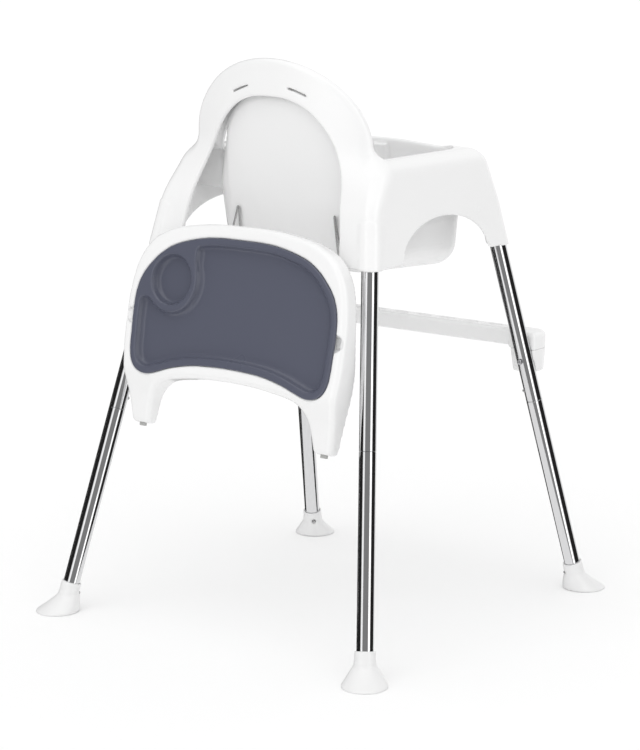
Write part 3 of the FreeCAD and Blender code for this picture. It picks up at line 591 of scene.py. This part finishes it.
def snap_button(kind, end, side, place, tip):
    """A domed pip on a flange that stays inside the tube."""
    floor, axis = leg_frame(end, side)
    base = Vector(floor + axis * place)
    inner = TUBE_RADIUS - 2.4
    profile = [(0, inner - 2.4), (3.4, inner - 2.4), (3.8, inner - 2.0), (3.8, inner - 1.5),
               (3.5, inner - 1.2), (BUTTON_RADIUS, inner - 1.2)]
    for turn in range(0, 90, 15):
        t = math.radians(turn)
        profile.append((BUTTON_RADIUS * math.cos(t), tip - 1.7 + 1.7 * math.sin(t)))
    profile.append((0, tip))
    node = "%s_button_%s" % (kind, leg_name(end, side))
    pip = turned("pip_" + node, profile, base, inward(end, side), segments=32)
    shown(pip, node + "_body", node, "button_chrome")


# ---------------------------------------------------------------- footrest

REST_HALF = 240.0
REST_MIDDLE = -238.5
REST_TOP = 422.0
REST_BOTTOM = 396.0
BLOCK_MIDDLE = -230.0
CAP_X = 215.0
CAP_TOP = 395.7
CAP_BOTTOM = 360.0
GROOVE_PITCH = 46.0


def end_corner(x, y):
    """The broad rounding of the footrest's outer front corners."""
    return rounded_box(x, y + 215.0, REST_HALF - 3.0, 40.0, 26.0)


def footrest_bar():
    """A bar with a rounded top in front of the front legs, and deeper blocks at its ends."""
    def field(x, y, z):
        bar = rounded_box(x, y - REST_MIDDLE, REST_HALF, 16.5, 9.0)
        blocks = rounded_box(np.abs(x) - 213.0, y - BLOCK_MIDDLE, 27.0, 25.0, 9.0)
        plan = np.maximum(round_min(bar, blocks, 8.0), end_corner(x, y))
        body = round_max(plan, z - REST_TOP, 7.0)
        body = round_max(body, REST_BOTTOM - z, 1.2)
        hollow = rounded_box(x, y - REST_MIDDLE, 143.0, 13.2, 5.0)
        hollow = round_max(hollow, z - REST_TOP + 3.4, 2.0)
        body = round_max(body, -hollow, 0.8)
        for index in range(-3, 4):
            groove = rounded_box(x - index * GROOVE_PITCH, y - REST_MIDDLE, 15.0, 6.0, 5.0)
            body = round_max(body, -round_max(groove, REST_TOP - 1.2 - z, 0.8), 1.0)
        for side in (1, -1):
            away = around_axis(x, y, z, *leg_frame("front", side))[1]
            body = round_max(body, LEG_HOLE_RADIUS - away, 0.8)
        return body

    bar = moulding("footrest_moulding", field, (-243, -258, 393), (243, -202, 425), 1.8)
    shown(bar, "chair", "footrest_bar", "rest_plastic")


def footrest_cap(side):
    """The tapered cap under an end block."""
    middle = side * CAP_X

    def field(x, y, z):
        draw = (CAP_TOP - z) / 6.0
        body = rounded_box(x - middle, y - BLOCK_MIDDLE - draw / 2, 25.0 - draw, 25.0 - draw / 2, 8.0)
        body = np.maximum(body, end_corner(x, y) + 0.4 * draw)
        body = round_max(body, z - CAP_TOP, 1.0)
        body = round_max(body, CAP_BOTTOM - z, 3.5)
        away = around_axis(x, y, z, *leg_frame("front", side))[1]
        return round_max(body, LEG_HOLE_RADIUS - away, 0.8)

    name = side_name(side)
    low, high = (middle - 28, -258, 357), (middle + 28, -202, 399)
    cap = moulding("footrest_end_" + name, field, low, high, 1.8)
    shown(cap, "chair", "footrest_cap_" + name, "rest_plastic")


# ---------------------------------------------------------------- tray, in its own frame

TRAY_LEAN = math.radians(11.5)
TRAY_PLACE = np.array([[-1.0, 0.0, 0.0, 0.0],
                       [0.0, -math.sin(TRAY_LEAN), math.cos(TRAY_LEAN), 243.7],
                       [0.0, math.cos(TRAY_LEAN), math.sin(TRAY_LEAN), 450.0]])
FRAME_CHART = outline_chart([(0, 169), (60, 167.5), (119, 159.5), (148, 150), (172, 136), (190, 113),
                             (200, 88), (206, 55), (207.5, 20), (207, -20), (203.5, -55), (199, -85),
                             (195, -113), (192.5, -133), (190.5, -139.5), (185, -142.2), (173, -142.5),
                             (162, -142), (157.3, -139), (155.3, -132), (152, -112), (147, -94),
                             (137, -81), (122, -72), (92, -66.5), (55, -62), (0, -60)])
INSERT_CHART = outline_chart([(0, 148), (62, 146), (118, 133.5), (148, 117.5), (168, 99), (182, 80),
                              (190, 56), (192, 26), (191, -5), (189, -36), (181, -55), (167, -64),
                              (150, -65.5), (128, -59), (101, -50.5), (60, -43), (0, -40.5)])
ARM_DROP = curve_table([(-200, -33), (-160, -27.5), (-130, -22), (-100, -14.5), (-80, -6.5),
                        (-62, -0.6), (-45, 0), (0, 0), (200, 0)])
CUP = (-124.0, 78.5)
CUP_RADIUS = 38.5
CUP_RING_RADIUS = 48.0
PAN_DEPTH = 9.0
CUP_DEPTH = 11.0
INSERT_SKIN = 3.2
LATCH_X = 174.0
LATCH_LEVEL = -33.0
RIB_PLACE = (112.0, 111.5)
NOTCH_PLACE = (193.0, 18.5)
NOTCH_RADIUS = 12.0


def tray_face(y):
    """The height of the frame's face: level, then curving back along the arms."""
    places, heights, _ = ARM_DROP
    return np.interp(y, places, heights)


def tray_back(y):
    """The height of the walls' rear edge: shallower towards the top."""
    return -27.0 - 15.0 * smoothstep(-y, -60, 60)


def pan_outline(x, y):
    """The upper edge of the main recess, which runs round the cup's ring."""
    ring = CUP_RING_RADIUS - np.hypot(x - CUP[0], y - CUP[1])
    pan = round_max(from_chart(INSERT_CHART, x, y) + 10.0, ring, 7.0)
    beside = np.maximum(x - CUP[0], 50.0 - y)
    above = np.maximum(x + 82.0, 100.0 - y)
    return round_max(pan, -np.minimum(beside, above), 8.0)


def recess_walls(x, y, z):
    """The distances from the sloping walls of the main recess and of the cup's recess."""
    pan = (pan_outline(x, y) + 0.5 * (1.0 - z)) / 1.12
    cup = (np.hypot(x - CUP[0], y - CUP[1]) - CUP_RADIUS + 0.45 * (1.0 - z)) / 1.1
    return pan, cup


def recesses(walls, grow, extra, radius, cup_radius=None):
    """Both recesses as one field, with walls moved out by grow and floors extra lower."""
    pan, cup, z = walls
    low_pan = round_max(pan - grow, -PAN_DEPTH - extra - z, radius)
    return np.minimum(low_pan, round_max(cup - grow, -CUP_DEPTH - extra - z, cup_radius or radius))


def tray_insert():
    """The lift-out plate: a flange, the sloping-sided recess and the cup's recess."""
    def field(x, y, z):
        edge = from_chart(INSERT_CHART, x, y)
        walls = (*recess_walls(x, y, z), z)
        flange = round_max(round_max(edge, z - 1.0, 1.8), -INSERT_SKIN - z, 0.5)
        wells = recesses(walls, 3.0, INSERT_SKIN, 5.0)
        body = round_min(flange, np.maximum(wells, z), 1.5)
        return round_max(body, -recesses(walls, 0.0, 0.0, 4.5, cup_radius=4.0), 2.2)

    insert = moulding("insert_moulding", field, (-196, -70, -18), (196, 152, 4), 1.7, TRAY_PLACE)
    shown(insert, "insert", "tray_insert", "insert_plastic")


def tray_frame():
    """The white frame: a broad rounded rim, side walls, wells under the insert, and two arms."""
    def field(x, y, z):
        outline = from_chart(FRAME_CHART, x, y)
        edge = from_chart(INSERT_CHART, x, y)
        face = tray_face(y)
        solid = round_max(outline, z - face, 8.5)
        solid = np.maximum(solid, tray_back(y) - z)
        hollow = round_max(outline + 3.8, z - face + 6.5, 5.0)
        body = round_max(solid, -hollow, 0.6)
        walls = (*recess_walls(x, y, z), z)
        body = round_min(body, np.maximum(recesses(walls, 7.4, 8.0, 6.0), z + 4.0), 2.0)
        body = np.maximum(body, -recesses(walls, 3.4, 3.8, 5.0))
        body = round_max(body, -np.maximum(edge - 0.7, -3.6 - z), 0.8)
        across = np.abs(x)
        notch = np.hypot(across - NOTCH_PLACE[0], y - NOTCH_PLACE[1]) - NOTCH_RADIUS
        body = round_max(body, -np.maximum(notch, -4.5 - z), 1.2)
        rib = rounded_box(across - RIB_PLACE[0], y - RIB_PLACE[1], 22.0, 1.9, 0.8)
        body = np.minimum(body, np.maximum(rib, np.maximum(-26.0 - z, z + 16.0)))
        guide = rounded_box(across - LATCH_X, z + 27.0, 9.0, 13.0, 1.0)
        guide = np.maximum(np.maximum(guide, np.abs(y + 119.0) - 22.0), z - face + 2.0)
        slot = np.maximum(rounded_box(across - LATCH_X, z - LATCH_LEVEL, 5.9, 2.9, 0.5), y + 96.0)
        return np.maximum(np.minimum(body, guide), -slot)

    obj = moulding("frame_moulding", field, (-212, -147, -46), (212, 173, 4), 2.2, TRAY_PLACE)
    shown(obj, "tray", "tray_frame", "tray_plastic")


def tray_latch(side):
    """The latch's tongue: its tip shows below the arm's end."""
    middle = -side * LATCH_X

    def field(x, y, z):
        tongue = rounded_box(x - middle, z - LATCH_LEVEL, 5.5, 2.5, 0.8)
        tongue = round_max(tongue, np.abs(y + 130.0) - 17.0, 1.0)
        stem = np.maximum(np.hypot(x - middle, z - LATCH_LEVEL) - 1.5, np.abs(y + 108.0) - 7.0)
        return np.minimum(tongue, stem)

    name = side_name(side)
    low, high = (middle - 8, -150, -38), (middle + 8, -98, -28)
    latch = moulding("latch_tongue_" + name, field, low, high, 0.8, TRAY_PLACE)
    shown(latch, "latch_" + name, "tray_latch_" + name, "latch_plastic")


def tray_hook(side):
    """A bent wire that leaves the back wall, folds back down and reaches under the tray's rib."""
    knots = [(92.5, 96.5, 562), (92.5, 102.5, 573), (91.5, 108.0, 610), (91.0, 109.6, 624),
             (92.6, 110.6, 627), (94.5, 111.0, 620), (99, 112.0, 602), (107, 114.0, 574),
             (110.5, 122.0, 556), (111.5, 150, 545.5), (112, 178, 543.5), (112, 201, 547.5)]
    name = side_name(side)
    wire = bent_wire("hook_wire_" + name, [(side * x, y, z) for x, y, z in knots], 1.5)
    shown(wire, "chair", "tray_hook_" + name, "hook_wire")


# ---------------------------------------------------------------- materials


def new_material(name):
    material = bpy.data.materials.new(name)
    material.use_nodes = True
    nodes = material.node_tree.nodes
    return material, nodes, material.node_tree.links, nodes["Principled BSDF"]


def noise(nodes, scale, detail):
    texture = nodes.new("ShaderNodeTexNoise")
    texture.inputs["Scale"].default_value = scale
    texture.inputs["Detail"].default_value = detail
    return texture


def surface(parts, colour, darker, gloss_range, gloss_noise, bump_noise, strength, distance):
    """Colour and gloss that vary with gloss_noise, and a fine relief from bump_noise."""
    nodes, links, shader = parts
    tint = nodes.new("ShaderNodeMix")
    tint.data_type = "RGBA"
    tint.inputs["A"].default_value = (*colour, 1)
    tint.inputs["B"].default_value = (*(darker * c for c in colour), 1)
    gloss = nodes.new("ShaderNodeMapRange")
    gloss.inputs["To Min"].default_value = gloss_range[0]
    gloss.inputs["To Max"].default_value = gloss_range[1]
    bump = nodes.new("ShaderNodeBump")
    bump.inputs["Strength"].default_value = strength
    bump.inputs["Distance"].default_value = distance
    links.new(gloss_noise.outputs["Fac"], tint.inputs["Factor"])
    links.new(tint.outputs["Result"], shader.inputs["Base Color"])
    links.new(gloss_noise.outputs["Fac"], gloss.inputs["Value"])
    links.new(gloss.outputs["Result"], shader.inputs["Roughness"])
    links.new(bump_noise.outputs["Fac"], bump.inputs["Height"])
    links.new(bump.outputs["Normal"], shader.inputs["Normal"])


def plastic(name, colour, roughness, grain=0.02):
    """Moulded plastic: a slightly uneven gloss and a faint moulded texture."""
    material, nodes, links, shader = new_material(name)
    shader.inputs["IOR"].default_value = 1.49
    place = nodes.new("ShaderNodeTexCoord")
    broad = noise(nodes, 9.0, 3.0)
    fine = noise(nodes, 900.0, 2.0)
    for texture in (broad, fine):
        links.new(place.outputs["Object"], texture.inputs["Vector"])
    gloss_range = (roughness * 0.8, roughness * 1.25)
    surface((nodes, links, shader), colour, 0.965, gloss_range, broad, fine, grain, 0.0004)
    return material


def metal(name, colour, roughness, scratch_scale, scratch):
    """Plated or bare metal with fine upright polishing marks."""
    material, nodes, links, shader = new_material(name)
    shader.inputs["Metallic"].default_value = 1.0
    place = nodes.new("ShaderNodeTexCoord")
    stretch = nodes.new("ShaderNodeMapping")
    stretch.inputs["Scale"].default_value = (scratch_scale, scratch_scale, scratch_scale * 0.04)
    marks = noise(nodes, 1.0, 4.0)
    links.new(place.outputs["Object"], stretch.inputs["Vector"])
    links.new(stretch.outputs["Vector"], marks.inputs["Vector"])
    gloss_range = (roughness * 0.7, roughness * 1.4)
    surface((nodes, links, shader), colour, 0.9, gloss_range, marks, marks, scratch, 0.0002)
    return material


WHITE = plastic("white_moulding", (0.90, 0.90, 0.90), 0.24)
SATIN_WHITE = plastic("foot_moulding", (0.84, 0.84, 0.84), 0.33)
INSERT_GREY = plastic("insert_moulding", (0.099, 0.106, 0.145), 0.29, grain=0.05)
LATCH_GREY = plastic("latch_moulding", (0.45, 0.45, 0.44), 0.4)
CHROME = metal("chrome_plate", (0.80, 0.80, 0.81), 0.07, 300, 0.03)
BUTTON = metal("button_plate", (0.6, 0.6, 0.6), 0.15, 900, 0.03)
WIRE = metal("wire_plate", (0.5, 0.5, 0.5), 0.18, 900, 0.05)
STEEL = metal("zinc_plate", (0.5, 0.5, 0.52), 0.3, 1500, 0.1)
SPRING = metal("spring_steel", (0.3, 0.3, 0.32), 0.32, 900, 0.08)

SLOT_MATERIALS = {
    "shell_plastic": WHITE,
    "rest_plastic": WHITE,
    "tray_plastic": WHITE,
    "foot_plastic": SATIN_WHITE,
    "insert_plastic": INSERT_GREY,
    "latch_plastic": LATCH_GREY,
    "chrome_tube": CHROME,
    "button_chrome": BUTTON,
    "hook_wire": WIRE,
    "screw_steel": STEEL,
    "spring_steel": SPRING,
}


def paint(obj, slot):
    obj.data.materials.clear()
    obj.data.materials.append(SLOT_MATERIALS[slot])


# ---------------------------------------------------------------- camera, light and floor

PANEL_AWAY = 2.2
PANEL_BOTTOM = -1.2
PANEL_HEIGHT = 4.4
FLOOR_HALF = 40.0


def camera():
    data = bpy.data.cameras.new("camera")
    data.sensor_width = 36.0
    data.lens = 120.94
    obj = bpy.data.objects.new("camera", data)
    bpy.context.scene.collection.objects.link(obj)
    azimuth = math.radians(38.137)
    tilt = math.radians(11.579)
    ahead = Vector((math.sin(azimuth) * math.cos(tilt), -math.cos(azimuth) * math.cos(tilt),
                    -math.sin(tilt)))
    obj.location = CAMERA_PLACE
    obj.rotation_euler = ahead.to_track_quat("-Z", "Y").to_euler()
    bpy.context.scene.camera = obj


def sun(name, heading, height, spread, power):
    """A broad soft light from a heading, counted from +X, and a height, in degrees."""
    data = bpy.data.lights.new(name, "SUN")
    data.angle = math.radians(spread)
    data.energy = power
    obj = bpy.data.objects.new(name, data)
    turn, rise = math.radians(heading), math.radians(height)
    toward = Vector((math.cos(turn) * math.cos(rise), math.sin(turn) * math.cos(rise), math.sin(rise)))
    obj.rotation_euler = toward.to_track_quat("Z", "Y").to_euler()
    bpy.context.scene.collection.objects.link(obj)


def panel(name, heading, width, brightness):
    """An upright studio panel, dark or lit, that shows only in reflections."""
    material, _, _, shader = new_material(name + "_cloth")
    shader.inputs["Base Color"].default_value = (0, 0, 0, 1)
    shader.inputs["Specular IOR Level"].default_value = 0.0
    shader.inputs["Emission Color"].default_value = (1, 1, 1, 1)
    shader.inputs["Emission Strength"].default_value = brightness
    turn = math.radians(heading)
    middle = Vector((PANEL_AWAY * math.cos(turn), PANEL_AWAY * math.sin(turn), PANEL_BOTTOM))
    across = Vector((-math.sin(turn), math.cos(turn), 0)) * width / 2
    top = Vector((0, 0, PANEL_HEIGHT))
    corners = [middle - across, middle + across, middle + across + top, middle - across + top]
    obj = mesh_object(name, corners, [(0, 1, 2, 3)])
    obj.data.materials.append(material)
    obj.visible_camera = False
    obj.visible_diffuse = False
    obj.visible_shadow = False
    obj.visible_transmission = False


def studio():
    """A white room, a soft sun, panels for the chrome, and a floor that isn't reflected."""
    world = bpy.data.worlds.new("studio")
    world.use_nodes = True
    back = world.node_tree.nodes["Background"]
    back.inputs["Color"].default_value = (1.0, 1.0, 1.0, 1)
    back.inputs["Strength"].default_value = 0.91
    bpy.context.scene.world = world
    bpy.context.scene.view_settings.view_transform = "Standard"
    sun("overhead", 112, 52, 75, 0.62)
    ahead = math.degrees(math.atan2(CAMERA_PLACE[1], CAMERA_PLACE[0]))
    panel("flag_right", ahead + 85, 2.5, 0.02)
    panel("softbox_right", ahead + 41, 0.6, 1.9)
    panel("flag_middle", ahead - 2, 2.6, 0.24)
    panel("softbox_left", ahead - 43, 0.5, 1.2)
    panel("flag_left", ahead - 87, 2.4, 0.02)
    panel("flag_far_left", ahead - 149, 2.8, 0.03)
    floor_material, _, _, shader = new_material("floor_paper")
    shader.inputs["Base Color"].default_value = (0.97, 0.97, 0.97, 1)
    shader.inputs["Roughness"].default_value = 0.9
    shader.inputs["Specular IOR Level"].default_value = 0.1
    corners = [(i * FLOOR_HALF, j * FLOOR_HALF, 0) for i, j in ((-1, -1), (1, -1), (1, 1), (-1, 1))]
    floor = mesh_object("floor", corners, [(0, 1, 2, 3)])
    floor.data.materials.append(floor_material)
    floor.visible_glossy = False


# ---------------------------------------------------------------- put together

camera()
studio()
for item in frame["record"]["subparts"]:
    paint(frame["nodes"][item["node"]], item["material_slot"])
seat_shell()
for end in LEGS:
    for side in (1, -1):
        leg(end, side)
        foot(end, side)
        snap_button("leg", end, side, LEG_BUTTON_PLACE, LEG_BUTTON_TIP)
        snap_button("foot", end, side, FOOT_BUTTON_PLACE, FOOT_BUTTON_TIP)
footrest_bar()
tray_frame()
tray_insert()
for side in (1, -1):
    footrest_cap(side)
    tray_latch(side)
    tray_hook(side)
